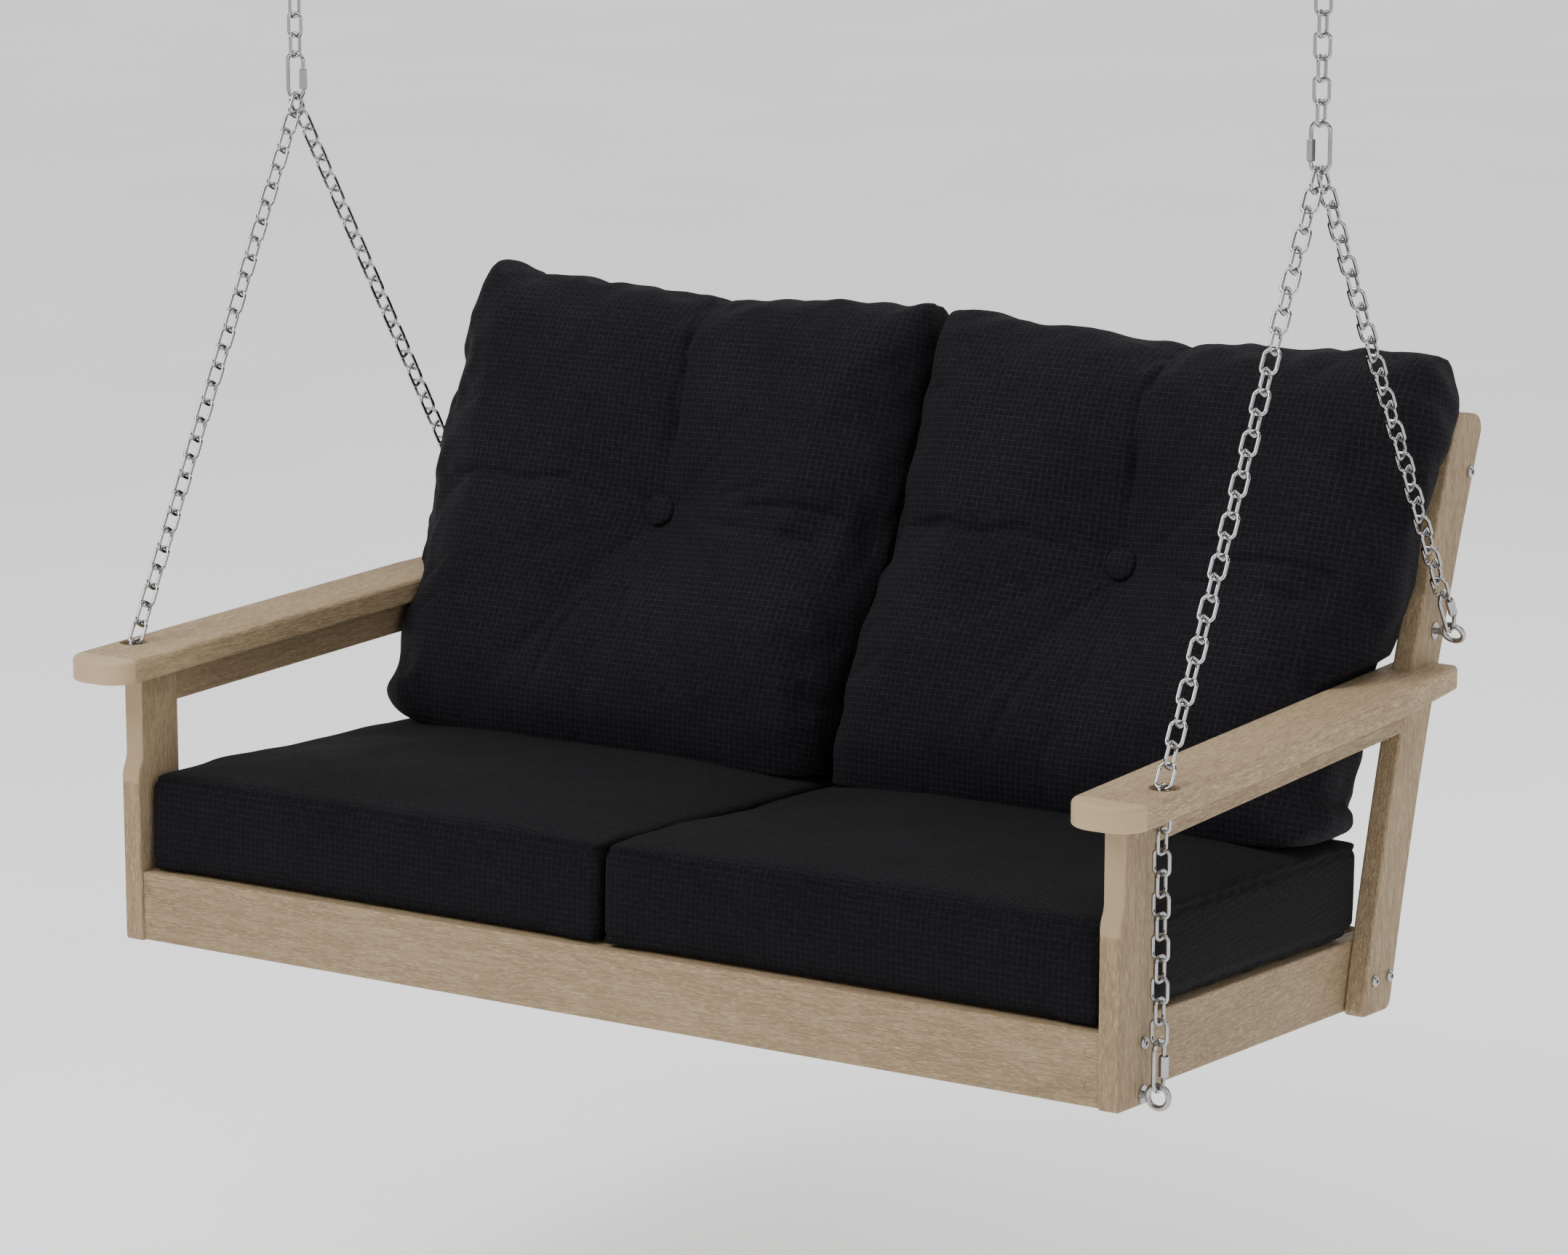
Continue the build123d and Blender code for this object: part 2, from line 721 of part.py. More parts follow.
# Back slats lie on the front faces of the rear rail and the crest rail.
for number, centre in enumerate(slat_centres, 1):
    with BuildPart() as back_slat:
        with BuildSketch(back_plane.offset(slat_back)):
            with Locations((centre, (back_slat_low + back_slat_high) / 2)):
                Rectangle(back_slat_width, back_slat_high - back_slat_low)
        extrude(amount=back_slat_thickness)
        fillet(long_edges(back_slat, back_axis, 100), 3.0)
        front_face = back_plane.offset(slat_front).location
        with Locations(*[front_face * Location((x, y, 0)) for x, y in back_screws(centre)]):
            CounterSinkHole(screw_hole, screw_sink, counter_sink_angle=90)
    save(back_slat, f"back_slat_{number}")

# ---- fasteners in place ----
bolt_part = button_bolt()
with BuildPart() as frame_bolts:
    for name, sign in sides:
        spots = [outward(sign, half_width, y, z) for y, z in (post_bolt, *upright_bolts)]
        with Locations(*spots):
            add(bolt_part)
save(frame_bolts, "frame_bolts")

screw_part = wood_screw(screw_length)
with BuildPart() as slat_screws:
    with Locations(*[deck_plane.location * Location((x, y, 0)) for x, y in seat_screws]):
        add(screw_part)
    front_face = back_plane.offset(slat_front).location
    with Locations(*[front_face * Location((x, y, 0)) for x, y in all_back_screws]):
        add(screw_part)
    sunk = front_plane(apron_setback + plug_depth).location
    with Locations(*[sunk * Location((x, z, 0)) for x, z in apron_screws]):
        add(screw_part)
save(slat_screws, "slat_screws")

# Armrest screws point up through the rail under the arm.
long_screw = wood_screw(arm_screw_length)
with BuildPart() as arm_screws:
    for name, sign in sides:
        x = sign * (half_width - board / 2)
        with Locations(*[Location(place(x, y, arm_rail_bottom + arm_screw_sunk), (180, 0, 0))
                         for y in arm_screw_places]):
            add(long_screw)
save(arm_screws, "arm_screws")

# Eye bolts: the front pair go through the post and the side rail, the rear pair through the upright.
front_ring = chain_x - branch_offset
rear_ring = chain_x + branch_offset
front_inside = half_width - 2 * board - fit_gap
rear_inside = half_width - board
inner_stack = washer_thickness + nut_height

with BuildPart() as eye_bolts:
    for name, sign in sides:
        turn = 0 if sign > 0 else 180
        front_shank = front_ring - (front_inside - inner_stack - 1.5)
        with Locations(outward(sign, front_ring, *front_eye)):
            add(eye_bolt(front_shank))
        rear_shank = rear_ring - (rear_inside - inner_stack - 1.5)
        rolled = Location((0, 0, 0), (sign * ring_turn, 0, 0))
        with Locations(outward(sign, rear_ring, *rear_eye) * rolled):
            add(eye_bolt(rear_shank))
save(eye_bolts, "eye_bolts")

eye_spots = ((*front_eye, front_inside), (*rear_eye, rear_inside))
with BuildPart() as eye_washers:
    washer = flat_washer()
    for name, sign in sides:
        for y, z, inside in eye_spots:
            with Locations(outward(sign, half_width, y, z),
                           outward(sign, inside - washer_thickness, y, z)):
                add(washer)
save(eye_washers, "eye_washers")

with BuildPart() as eye_nuts:
    for name, sign in sides:
        for y, z, inside in eye_spots:
            with Locations(outward(sign, inside - inner_stack, y, z)):
                add(hex_nut())
save(eye_nuts, "eye_nuts")

# ---- cushions ----
button_x = 324.0
button_face = (649.0, 446.0)   # middle of a button's face, to the rear and up
button_radius = 20.0
cushion_lean = radians(26.0)
button_out = (-cos(cushion_lean), sin(cushion_lean))

for name, sign in sides:
    with BuildPart() as seat_cushion:
        with BuildSketch(deck_plane.offset(1.0)):
            with Locations((sign * 322.0, (cushion_front + cushion_rear) / 2)):
                Rectangle(640.0, cushion_rear - cushion_front)
        extrude(amount=cushion_height - 1.0)
        fillet(seat_cushion.edges(), 16.0)
    save(seat_cushion, f"seat_cushion_{name}")

    # Back cushion: thick at the foot and thin at the top, narrower where it fits between the arms.
    seat_top = deck_height + cushion_height + 3.0

    def slat_line(z):
        return back_foot + z * lean - (slat_front + 3.0) / cos(back_angle)

    with BuildPart() as back_cushion:
        with BuildSketch(side_plane(0)) as profile:
            with BuildLine():
                Polyline((500, seat_top - slope * 500), (466, 232), (592, 480), (742, 727),
                         (slat_line(727), 727), (slat_line(215), 215),
                         (655, seat_top - slope * 655), close=True)
            make_face()
            fillet(profile.vertices(), 26.0)
        extrude(amount=sign * 676)
        with BuildSketch(front_plane(0)):
            with BuildLine():
                Polyline((sign * 4, 120), (sign * 619, 120), (sign * 619, 365),
                         (sign * 631, 400), (sign * 674, 450), (sign * 674, 740),
                         (sign * 4, 740), close=True)
            make_face()
        extrude(amount=-1000, mode=Mode.INTERSECT)
        with BuildSketch(side_plane(sign * (half_width - board - 5))):
            with BuildLine():
                bend_arc(front_bend + 6, 340, 650)
                Polyline((bend_y(front_bend + 6, 650), 650), (1000, 650), (1000, 340),
                         (bend_y(front_bend + 6, 340), 340))
            make_face()
        extrude(amount=sign * 60, mode=Mode.SUBTRACT)
        button_plane = Plane(origin=place(sign * button_x, *button_face), x_dir=(1, 0, 0),
                             z_dir=(0, *button_out))
        with BuildSketch(button_plane.offset(-9.0)):
            Circle(button_radius + 3.0)
        extrude(amount=120, taper=-22, mode=Mode.SUBTRACT)
    save(back_cushion, f"back_cushion_{name}")

    with BuildPart() as button:
        with BuildSketch(button_plane.offset(-8.0)):
            Circle(button_radius)
        extrude(amount=8.0)
        fillet(button.faces().sort_by(Axis.Y)[0].edges(), 5.0)
    save(button, f"cushion_button_{name}")
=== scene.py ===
import math

import bmesh
import bpy
import numpy as np
from mathutils import Matrix, Vector, noise
from mathutils.bvhtree import BVHTree


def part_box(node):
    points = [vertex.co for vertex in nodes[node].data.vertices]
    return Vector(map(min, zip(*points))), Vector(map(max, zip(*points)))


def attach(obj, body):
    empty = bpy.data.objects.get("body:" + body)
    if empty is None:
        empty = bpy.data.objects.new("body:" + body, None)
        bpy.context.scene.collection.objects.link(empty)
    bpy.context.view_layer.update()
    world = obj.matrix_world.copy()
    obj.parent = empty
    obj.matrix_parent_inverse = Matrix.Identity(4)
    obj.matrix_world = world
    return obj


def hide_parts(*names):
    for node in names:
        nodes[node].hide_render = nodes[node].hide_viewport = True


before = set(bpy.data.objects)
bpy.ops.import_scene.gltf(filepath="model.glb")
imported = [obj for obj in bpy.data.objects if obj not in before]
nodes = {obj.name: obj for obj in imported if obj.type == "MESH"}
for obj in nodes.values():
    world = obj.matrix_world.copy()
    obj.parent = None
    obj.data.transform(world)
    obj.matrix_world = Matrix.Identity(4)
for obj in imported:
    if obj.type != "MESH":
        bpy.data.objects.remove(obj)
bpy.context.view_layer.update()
scene = bpy.context.scene

# ---- places read from the frame ----
post_low, post_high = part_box("front_post_right")
BASE = Vector((0.0, post_low.y, post_high.z - 0.320))     # front bottom corner of the posts
TILT = math.radians(4.0)                                  # fall of the deck
LEAN = math.radians(18.4)                                 # lean of the back
DECK = 0.0865
DECK_Y = Vector((0, math.cos(TILT), -math.sin(TILT)))
DECK_Z = Vector((0, math.sin(TILT), math.cos(TILT)))
BACK_FOOT = BASE + Vector((0, 0.6789, 0))
BACK_V = Vector((0, math.sin(LEAN), math.cos(LEAN)))
BACK_W = Vector((0, -math.cos(LEAN), math.sin(LEAN)))


# ---- materials ----
class Shader:
    """A node material being built. Its methods add a node and return an output socket."""

    def __init__(self, name):
        self.material = bpy.data.materials.new(name)
        self.material.use_nodes = True
        self.tree = self.material.node_tree
        self.out = self.tree.nodes["Principled BSDF"]

    def node(self, kind, **values):
        n = self.tree.nodes.new(kind)
        for key, value in values.items():
            setattr(n, key, value)
        return n

    def link(self, a, b):
        self.tree.links.new(a, b)

    def put(self, target, value):
        if isinstance(value, bpy.types.NodeSocket):
            self.link(value, target)
        else:
            target.default_value = value

    def coords(self, scale=(1, 1, 1), rotation=(0, 0, 0), source="Object"):
        tc = self.node("ShaderNodeTexCoord")
        turn = self.node("ShaderNodeMapping", vector_type="POINT")
        turn.inputs["Rotation"].default_value = rotation
        self.link(tc.outputs[source], turn.inputs["Vector"])
        if tuple(scale) == (1, 1, 1):
            return turn.outputs["Vector"]
        m = self.node("ShaderNodeMapping", vector_type="POINT")
        m.inputs["Scale"].default_value = scale
        self.link(turn.outputs["Vector"], m.inputs["Vector"])
        return m.outputs["Vector"]

    def noise(self, vector, scale, detail=3.0, rough=0.55, distortion=0.0):
        n = self.node("ShaderNodeTexNoise")
        self.link(vector, n.inputs["Vector"])
        n.inputs["Scale"].default_value = scale
        n.inputs["Detail"].default_value = detail
        n.inputs["Roughness"].default_value = rough
        n.inputs["Distortion"].default_value = distortion
        return n.outputs["Fac"]

    def math(self, op, a, b=None):
        n = self.node("ShaderNodeMath", operation=op)
        self.put(n.inputs[0], a)
        if b is not None:
            self.put(n.inputs[1], b)
        return n.outputs[0]

    def remap(self, value, a, b, c, d):
        """Takes a..b smoothly to c..d."""
        n = self.node("ShaderNodeMapRange", interpolation_type="SMOOTHSTEP")
        self.link(value, n.inputs["Value"])
        for i, v in enumerate((a, b, c, d)):
            n.inputs[1 + i].default_value = v
        return n.outputs["Result"]

    def ramp(self, value, stops):
        n = self.node("ShaderNodeValToRGB")
        ramp = n.color_ramp
        while len(ramp.elements) < len(stops):
            ramp.elements.new(0.5)
        for element, (position, colour) in zip(ramp.elements, stops):
            element.position = position
            element.color = (*colour, 1)
        self.link(value, n.inputs["Fac"])
        return n.outputs["Color"]

    def bump(self, height, strength, distance):
        n = self.node("ShaderNodeBump")
        n.inputs["Strength"].default_value = strength
        n.inputs["Distance"].default_value = distance
        self.link(height, n.inputs["Height"])
        return n.outputs["Normal"]

    def finish(self, **values):
        for key, value in values.items():
            self.put(self.out.inputs[key.replace("_", " ")], value)
        return self.material


def lumber(name, rotation, smooth=None, painted_brightness=1.0):
    """Moulded lumber with short embossed grain. The rotation turns the board's length onto X.
    The part of a board that smooth(shader) gives as 0 was cut and polished, and has no grain."""
    s = Shader(name)
    fine = s.noise(s.coords((95, 720, 720), rotation), 1.0, 3, 0.62, 0.3)
    streak = s.noise(s.coords((26, 250, 250), rotation), 1.0, 3, 0.55, 0.5)
    broad = s.noise(s.coords((3, 14, 14), rotation), 1.0, 3, 0.5)
    ridge = s.math("ADD", s.remap(fine, 0.42, 0.60, 0.0, 0.62), s.remap(streak, 0.40, 0.62, 0.0, 0.38))
    if smooth is not None:
        grit = s.math("MULTIPLY", s.noise(s.coords((1, 1, 1)), 900.0, 2), 0.25)
        mask = smooth(s)
        ridge = s.math("ADD", s.math("MULTIPLY", ridge, mask), s.math(
            "MULTIPLY", s.math("SUBTRACT", 1.0, mask), s.math("ADD", grit, 0.55)))
    shade = s.math("ADD", s.math("MULTIPLY", ridge, 0.62), s.math("MULTIPLY", broad, 0.5))
    stops = ((0.15, (0.215, 0.147, 0.079)), (0.5, (0.322, 0.230, 0.127)),
             (0.9, (0.402, 0.299, 0.176)))
    # painted_brightness scales the grain colours: above 1 is painted light, below 1 is painted shade.
    tone = s.ramp(shade, [(at, tuple(painted_brightness * c for c in colour)) for at, colour in stops])
    rough = s.remap(ridge, 0.0, 1.0, 0.72, 0.52)
    return s.finish(Base_Color=tone, Roughness=rough, Normal=s.bump(ridge, 0.9, 0.0011))


HALF = math.pi / 2


def nose(s):
    """1 on the flat of an armrest, 0 on its rounded nose."""
    xyz = s.node("ShaderNodeSeparateXYZ")
    s.link(s.coords(), xyz.inputs[0])
    return s.remap(xyz.outputs[1], BASE.y - 0.026, BASE.y - 0.022, 0.0, 1.0)


def curve_of_post(s):
    """0 on the front edge of a post, from its curved step upwards."""
    xyz = s.node("ShaderNodeSeparateXYZ")
    s.link(s.coords(), xyz.inputs[0])
    normal = s.node("ShaderNodeSeparateXYZ")
    s.link(s.coords(source="Normal"), normal.inputs[0])
    high = s.remap(xyz.outputs[2], BASE.z + 0.190, BASE.z + 0.196, 0.0, 1.0)
    front = s.remap(normal.outputs[1], -0.45, -0.25, 1.0, 0.0)
    return s.math("SUBTRACT", 1.0, s.math("MULTIPLY", high, front))


lumber_x = lumber("lumber_across", (0, 0, 0))
lumber_y = lumber("lumber_deep", (0, 0, -HALF))
# The armrests take a copy of the deep lumber with a polished nose, painted 18% lighter: painted light for
# the light falling on their tops.
lumber_arm_painted_light = lumber("lumber_arm_painted_light", (0, 0, -HALF), nose, 1.18)
lumber_z = lumber("lumber_upright", (0, HALF, 0))
lumber_post = lumber("lumber_post", (0, HALF, 0), curve_of_post)


def metal(name, colour, rough_low, rough_high, scratch):
    s = Shader(name)
    marks = s.noise(s.coords((1, 1, 1)), 420.0, 4, 0.6)
    cloud = s.noise(s.coords((1, 1, 1)), 38.0, 3, 0.5)
    dark = tuple(c * 0.82 for c in colour)
    tone = s.ramp(cloud, [(0.25, dark), (0.7, colour)])
    rough = s.remap(marks, 0.3, 0.7, rough_low, rough_high)
    return s.finish(Base_Color=tone, Metallic=1.0, Roughness=rough,
                    Normal=s.bump(marks, scratch, 0.0003))


chain_steel = metal("chain_steel", (0.41, 0.41, 0.415), 0.04, 0.11, 0.06)
hardware_steel = metal("hardware_steel", (0.43, 0.425, 0.42), 0.20, 0.38, 0.2)


CHECK = 0.0072                # spacing of the cloth's square check
THREAD = 0.0018               # spacing of its weave


def cloth(name, rotation, painted_brightness):
    """Dark woven cloth with a fine square check, laid in the directions of the panel."""
    s = Shader(name)
    place = s.node("ShaderNodeSeparateXYZ")
    s.link(s.coords((1, 1, 1), rotation), place.inputs[0])
    facing = s.node("ShaderNodeSeparateXYZ")
    s.link(s.coords((1, 1, 1), rotation, "Normal"), facing.inputs[0])
    check = weave = None
    for axis in range(3):
        side_on = s.remap(s.math("ABSOLUTE", facing.outputs[axis]), 0.55, 0.85, 1.0, 0.0)
        thread = s.math("ABSOLUTE", s.math("SINE", s.math("MULTIPLY", place.outputs[axis],
                                                          math.pi / CHECK)))
        line = s.math("MULTIPLY", s.remap(thread, 0.0, 0.38, 1.0, 0.0), side_on)
        small = s.math("MULTIPLY", s.math("ABSOLUTE", s.math("SINE", s.math(
            "MULTIPLY", place.outputs[axis], math.pi / THREAD))), side_on)
        check = line if check is None else s.math("MAXIMUM", check, line)
        weave = small if weave is None else s.math("ADD", weave, small)
    slub = s.noise(s.coords((1, 1, 1), rotation), 240.0, 3, 0.6)
    cloud = s.noise(s.coords((1, 1, 1), rotation), 9.0, 3, 0.5)
    shade = s.math("ADD", s.math("MULTIPLY", check, 0.34), s.math("ADD", s.math(
        "MULTIPLY", slub, 0.55), s.math("MULTIPLY", cloud, 0.25)))
    stops = ((0.25, (0.0036, 0.0030, 0.0040)), (0.55, (0.0070, 0.0060, 0.0080)),
             (0.95, (0.0215, 0.0197, 0.0232)))
    # painted_brightness scales the cloth colours: above 1 is painted light, below 1 is painted shade.
    tone = s.ramp(shade, [(at, tuple(painted_brightness * c for c in colour)) for at, colour in stops])
    height = s.math("ADD", weave, s.math("ADD", s.math("MULTIPLY", check, 1.2), slub))
    return s.finish(Base_Color=tone, Roughness=s.remap(slub, 0.3, 0.7, 0.96, 0.82),
                    Specular_IOR_Level=0.09, Sheen_Weight=0.015, Sheen_Roughness=0.5,
                    Normal=s.bump(height, 0.35, 0.0006))


# One fabric in two copies: the seat copy is painted darker (painted shade) and the back copy is painted
# lighter (painted light), for how the light falls on each.
cloth_seat = cloth("cloth_seat", (-TILT, 0, 0), 0.76)
cloth_back = cloth("cloth_back", (LEAN, 0, 0), 1.20)


def paint(obj, material):
    obj.data.materials.clear()
    obj.data.materials.append(material)


def shade_smooth(obj):
    flags = [True] * len(obj.data.polygons)
    obj.data.polygons.foreach_set("use_smooth", flags)
    obj.data.update()


for name, obj in nodes.items():
    if any(word in name for word in ("chain", "quick_link", "sleeve")):
        paint(obj, chain_steel)
    elif any(word in name for word in ("hanger", "bolts", "screws", "eye_")):
        paint(obj, hardware_steel)
    elif "armrest" in name:
        paint(obj, lumber_arm_painted_light)
    elif "post" in name:
        paint(obj, lumber_post)
    elif any(word in name for word in ("upright", "back_slat")):
        paint(obj, lumber_z)
    elif any(word in name for word in ("arm_rail", "side_rail", "cleats", "bearer")):
        paint(obj, lumber_y)
    elif "cushion" not in name:
        paint(obj, lumber_x)


# ---- cushions ----
def new_mesh(name, verts, faces):
    mesh = bpy.data.meshes.new(name)
    mesh.from_pydata([tuple(v) for v in verts], [], faces)
    mesh.update()
    obj = bpy.data.objects.new(name, mesh)
    scene.collection.objects.link(obj)
    return obj


def mesh_coords(mesh):
    co = np.zeros(len(mesh.vertices) * 3, np.float64)
    mesh.vertices.foreach_get("co", co)
    return co.reshape(-1, 3)


def set_coords(obj, co):
    obj.data.vertices.foreach_set("co", co.reshape(-1).astype(np.float32))
    obj.data.update()


def remesh(obj, size):
    bpy.context.view_layer.objects.active = obj
    mod = obj.modifiers.new("remesh", "REMESH")
    mod.mode = "VOXEL"
    mod.voxel_size = size
    mod.use_smooth_shade = True
    bake(obj)


def bake(obj):
    """Replaces the mesh by what its modifiers make of it."""
    graph = bpy.context.evaluated_depsgraph_get()
    final = bpy.data.meshes.new_from_object(obj.evaluated_get(graph))
    obj.modifiers.clear()
    old = obj.data
    obj.data = final
    bpy.data.meshes.remove(old)


CLOTH_FRAMES = 20


def inflate(obj, cap, pressure, pinned, tension, bending):
    """Swells the piece as stuffed cloth, with no point moving further than the cap."""
    start = mesh_coords(obj.data)
    group = obj.vertex_groups.new(name="pin")
    group.add([int(i) for i in np.nonzero(pinned)[0]], 1.0, "REPLACE")
    mod = obj.modifiers.new("cloth", "CLOTH")
    settings = mod.settings
    settings.quality = 6
    settings.mass = 0.3
    settings.tension_stiffness = tension
    settings.compression_stiffness = tension
    settings.shear_stiffness = 5.0
    settings.bending_stiffness = bending
    settings.use_pressure = True
    settings.uniform_pressure_force = pressure
    settings.effector_weights.gravity = 0.0
    settings.air_damping = 2.0
    mod.collision_settings.use_collision = False
    settings.vertex_group_mass = "pin"
    mod.point_cache.frame_start = 1
    mod.point_cache.frame_end = CLOTH_FRAMES
    for number in range(1, CLOTH_FRAMES + 1):
        scene.frame_set(number)
    graph = bpy.context.evaluated_depsgraph_get()
    moved = mesh_coords(obj.evaluated_get(graph).to_mesh())
    obj.evaluated_get(graph).to_mesh_clear()
    obj.modifiers.clear()
    obj.vertex_groups.clear()
    scene.frame_set(1)
    step = moved - start
    length = np.linalg.norm(step, axis=1)
    factor = np.minimum(1.0, cap / np.maximum(length, 1e-9))
    set_coords(obj, start + step * factor[:, None])


def relax(obj, times):
    """Rounds the edges of a mesh a little."""
    mod = obj.modifiers.new("smooth", "SMOOTH")
    mod.factor = 0.5
    mod.iterations = times
    bake(obj)


def subdivide(obj):
    mod = obj.modifiers.new("subdivision", "SUBSURF")
    mod.levels = 1
    mod.render_levels = 1
    bake(obj)


def fold(x, width):
    """A narrow valley, deepest where x is 0."""
    return np.exp(-(np.abs(x) / width) ** 1.6)


def ripple(points, scale, seed):
    shift = Vector((seed * 7.3, seed * 3.1, seed * 5.7))
    return np.array([noise.noise(Vector(p) * scale + shift) for p in points])


def axes(origin, u, v, w):
    """Matrices from panel coordinates to the row frame and back."""
    turn = Matrix((u, v, w)).transposed().to_4x4()
    to_row = Matrix.Translation(origin) @ turn
    return np.array(to_row), np.array(to_row.inverted())


def apply(matrix, co):
    return co @ matrix[:3, :3].T + matrix[:3, 3]


VOXEL = 0.0065                # remeshing size of the cushions
MIDDLE_GAP = 0.0009           # half the gap between the two seats
SEAT_TOP = DECK + 0.121       # where seat and back cushions meet, above the post feet


def seat_cushion(side, sign):
    node = f"seat_cushion_{side}"
    origin = BASE + Vector((sign * 0.322, 0, DECK))
    to_row, to_panel = axes(origin, Vector((1, 0, 0)), DECK_Y, DECK_Z)
    a, b, mid = 0.3195, 0.3035, 0.3130    # half width, half depth, and its middle along the deck
    bm = bmesh.new()
    bmesh.ops.create_cube(bm, size=1.0)
    bmesh.ops.subdivide_edges(bm, edges=bm.edges[:], cuts=22, use_grid_fill=True)
    mesh = bpy.data.meshes.new(node)
    bm.to_mesh(mesh)
    bm.free()
    obj = bpy.data.objects.new(f"seat_pad_{side}", mesh)
    scene.collection.objects.link(obj)
    co = mesh_coords(mesh) * 2.0
    s, t, h = co[:, 0], co[:, 1], co[:, 2]
    thick = 0.116                         # height of the boxing
    pull = 0.005                          # how far the sides pull in between the corners
    x = s * (a - pull * (1 - t ** 2) * np.abs(h) ** 4)
    y = t * (b - pull * (1 - s ** 2) * np.abs(h) ** 4)
    crown = np.clip((1 - s ** 6) * (1 - t ** 6), 0, 1)
    z = 0.002 + (h + 1) / 2 * (thick + 0.014 * crown)
    panel = np.stack([x, mid + y, z], 1)
    set_coords(obj, apply(to_row, panel))
    remesh(obj, VOXEL)
    relax(obj, 9)
    co = apply(to_panel, mesh_coords(obj.data))
    near_side = np.maximum(np.abs(co[:, 0]) / a, np.abs(co[:, 1] - mid) / b)
    seams = (near_side > 0.93) & ((co[:, 2] > thick - 0.016) | (co[:, 2] < 0.018))
    upright = (np.abs(co[:, 0]) > a - 0.016) & (np.abs(co[:, 1] - mid) > b - 0.016)
    low = (co[:, 2] < 0.007) | seams | upright
    inflate(obj, 0.016, 3.6, low, tension=14.0, bending=1.5)
    subdivide(obj)
    co = apply(to_panel, mesh_coords(obj.data))
    x, y, z = co[:, 0], co[:, 1] - mid, co[:, 2]
    row = apply(to_row, co)
    wave = ripple(row, 7.0, 1.0 + sign) * 0.0035 + ripple(row, 19.0, 3.0 + sign) * 0.0012
    top = np.clip((z - 0.03) / 0.06, 0, 1)
    co[:, 2] = z + wave * top
    # Sewn edge: a line around the top and the bottom of the boxing, with small puckers.
    around = np.arctan2(y / b, x / a)
    pucker = 0.0006 * np.sin(around * 58 + 2 * np.sin(around * 9))
    for height in (thick - 0.009, 0.012):
        near = fold(z - height - 0.001 * np.sin(around * 2), 0.0035)
        outward = np.stack([x / a, y / b], 1)
        big = np.maximum(np.abs(outward[:, 0]), np.abs(outward[:, 1]))
        edge = np.clip((big - 0.93) / 0.05, 0, 1)
        push = near * edge * (0.0022 + pucker)
        co[:, 0] -= np.sign(x) * push * (np.abs(outward[:, 0]) > np.abs(outward[:, 1]) - 0.02)
        co[:, 1] -= np.sign(y) * push * (np.abs(outward[:, 1]) > np.abs(outward[:, 0]) - 0.02)
    co[:, 2] = np.maximum(co[:, 2], 0.0012)
    row = apply(to_row, co)
    row[:, 0] = sign * np.maximum(sign * row[:, 0], MIDDLE_GAP)
    # The open side bulges out over the side rail, between the post and the upright.
    depth = row[:, 1] - BASE.y
    clear = np.clip((depth - 0.085) / 0.05, 0, 1)
    out = np.minimum(sign * row[:, 0], 0.6435)
    out += 0.008 * clear * np.clip((out - 0.585) / 0.055, 0, 1) * np.clip((co[:, 2] - 0.004) / 0.02, 0, 1)
    row[:, 0] = sign * out
    # The back cushion rests on the rear of the seat cushion.
    plane = BASE.z + SEAT_TOP + 0.0065 - math.tan(TILT) * (row[:, 1] - BASE.y)
    behind = np.clip((row[:, 1] - BASE.y - 0.47) / 0.03, 0, 1)
    row[:, 2] = np.where(row[:, 2] > plane, row[:, 2] * (1 - behind) + plane * behind, row[:, 2])
    set_coords(obj, row)
    shade_smooth(obj)
    paint(obj, cloth_seat)
    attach(obj, "seat")
    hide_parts(node)
    return obj


def upright_front(z):
    """Front edge of the uprights, to the rear of the posts, at a height above their feet."""
    return 4.1069 - np.sqrt(3.5959 ** 2 - (z + 0.8182) ** 2)


MIDDLE_V, HALF_V = 0.3735, 0.3325     # middle and half height of a back cushion, up the panel
INNER_HALF = 0.315                    # its half width towards the other cushion
# Half width of a back cushion on its outer side, by height up the panel: a bulge under the
# armrest, a waist at the armrest, and the wide wing above it.
OUTER_V = [0.04, 0.07, 0.10, 0.13, 0.16, 0.20, 0.235, 0.30, 0.36, 0.43, 0.535, 0.59, 0.63, 0.665, 0.70]
OUTER_HALF = [0.318, 0.326, 0.331, 0.326, 0.316, 0.316, 0.322, 0.320, 0.335, 0.352, 0.3505, 0.3535,
              0.356, 0.352, 0.344]
# The right cushion is a little fuller low down and a little slimmer at the middle.
TRIM_V = [0.05, 0.10, 0.15, 0.28, 0.42, 0.57, 0.64]
TRIM_RIGHT = [0.016, 0.018, 0.0, -0.011, -0.016, -0.014, 0.0]
LOW_ROUNDING = 0.045          # height over which a back cushion's lower outer corner is rounded


